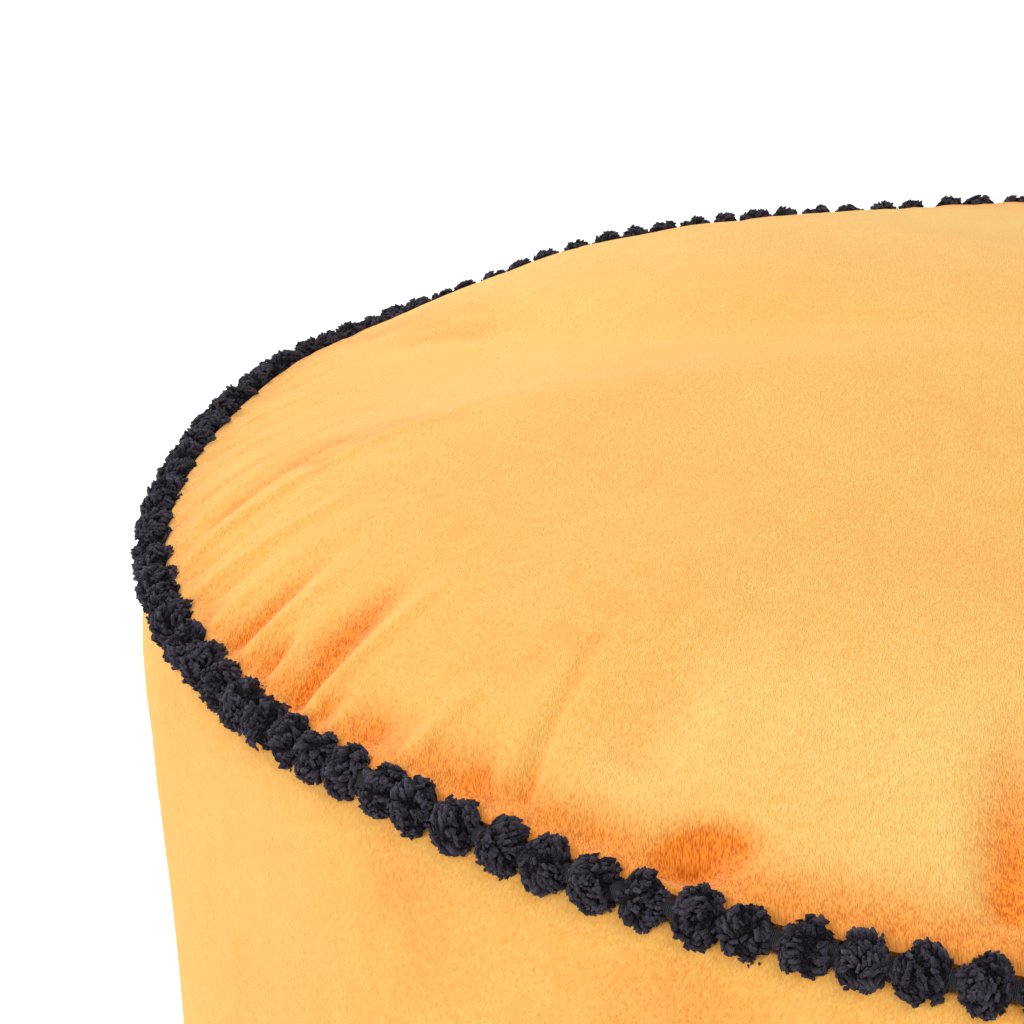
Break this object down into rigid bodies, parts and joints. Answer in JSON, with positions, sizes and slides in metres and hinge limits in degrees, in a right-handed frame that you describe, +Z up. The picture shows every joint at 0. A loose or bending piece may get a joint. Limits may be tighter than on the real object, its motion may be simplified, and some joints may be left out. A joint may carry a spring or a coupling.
{
  "type": "floor pouf",
  "caption": "Round filled velvet floor pouf with a gathered, crowned top and a braid of small yarn pompoms sewn into the top seam.",
  "frame": {"origin": "on the floor under the middle of the pouf", "axes": "+Z up through the crown, -Y towards the front, +X to the right seen from the front"},
  "size_m": [0.5659, 0.5621, 0.351],
  "materials": {
    "velvet": "short-pile velvet, orange, pale at grazing angles",
    "pompom_yarn": "chopped matt yarn, near black"
  },
  "bodies": {
    "root": {"cushion_body": "velvet", "pompom_trim": "pompom_yarn"}
  },
  "joints": []
}
